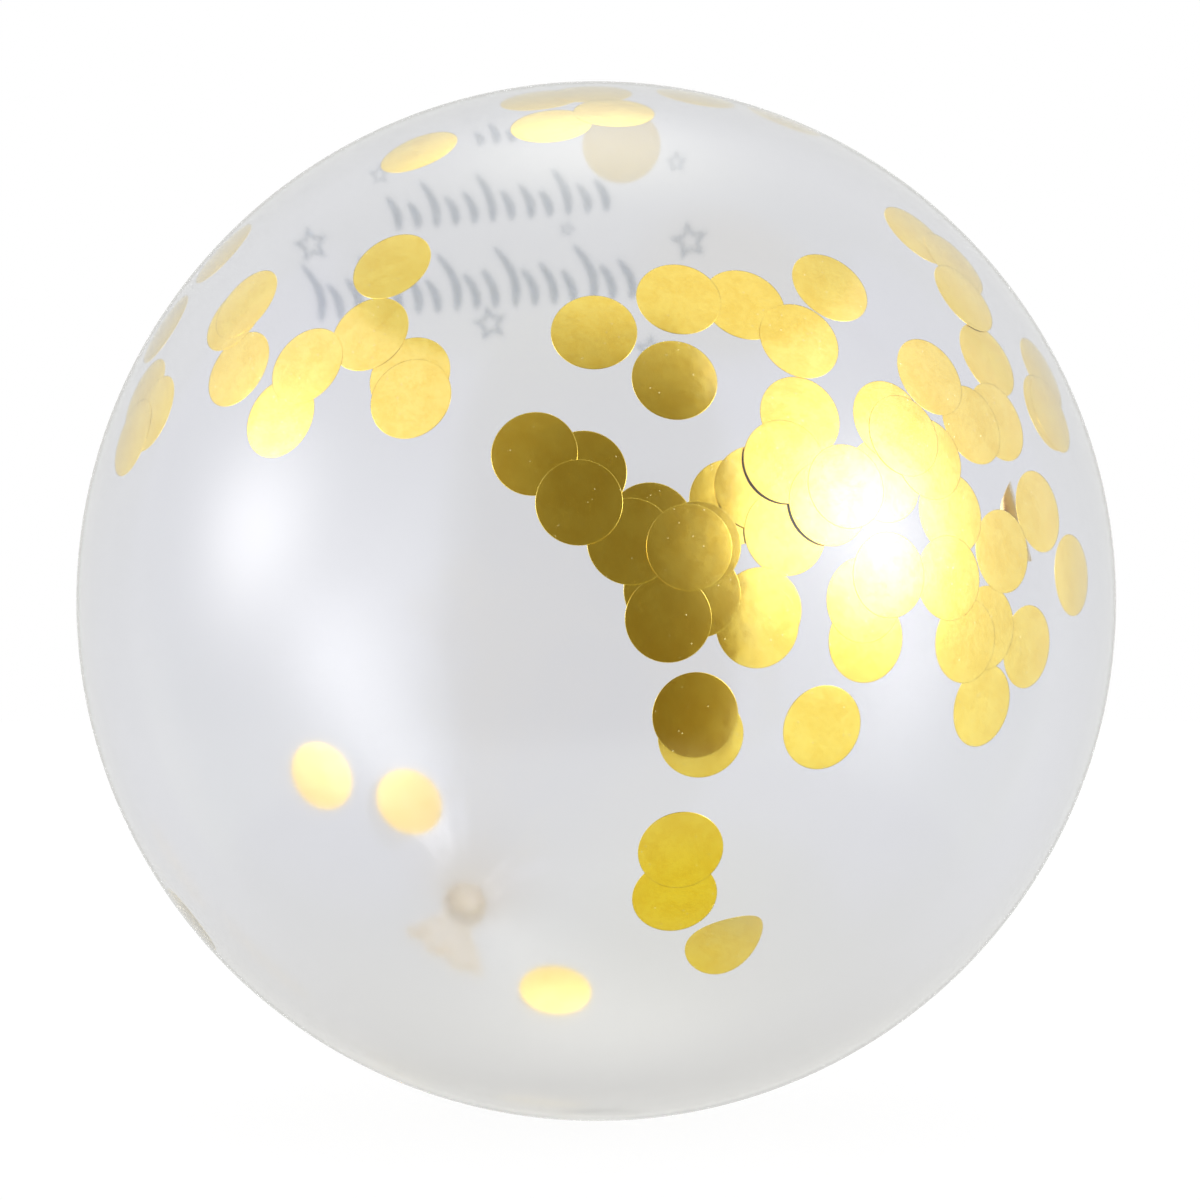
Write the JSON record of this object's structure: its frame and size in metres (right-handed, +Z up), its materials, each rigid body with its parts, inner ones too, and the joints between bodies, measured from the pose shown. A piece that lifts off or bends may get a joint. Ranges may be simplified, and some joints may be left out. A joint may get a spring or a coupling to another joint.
{
  "type": "confetti balloon",
  "caption": "Round see-through latex balloon, blown up and tied, with shiny gold foil discs clinging to the inside of its skin. It lies on a small flat spot.",
  "frame": {"origin": "centre of the small flat spot that the balloon lies on", "axes": "+Z up; +Y away from the side that faces a viewer, so -Y is the front; the mouth is on the +Y side, 34 degrees below level and 17 degrees towards -X"},
  "size_m": [0.3046, 0.3199, 0.3042],
  "materials": {
    "clear_latex": "thin stretched latex, see-through and glossy, with a dull blue-grey print",
    "gold_foil": "mirror-bright gold-coloured foil"
  },
  "bodies": {
    "root": {"balloon": "clear_latex"}
  },
  "joints": []
}
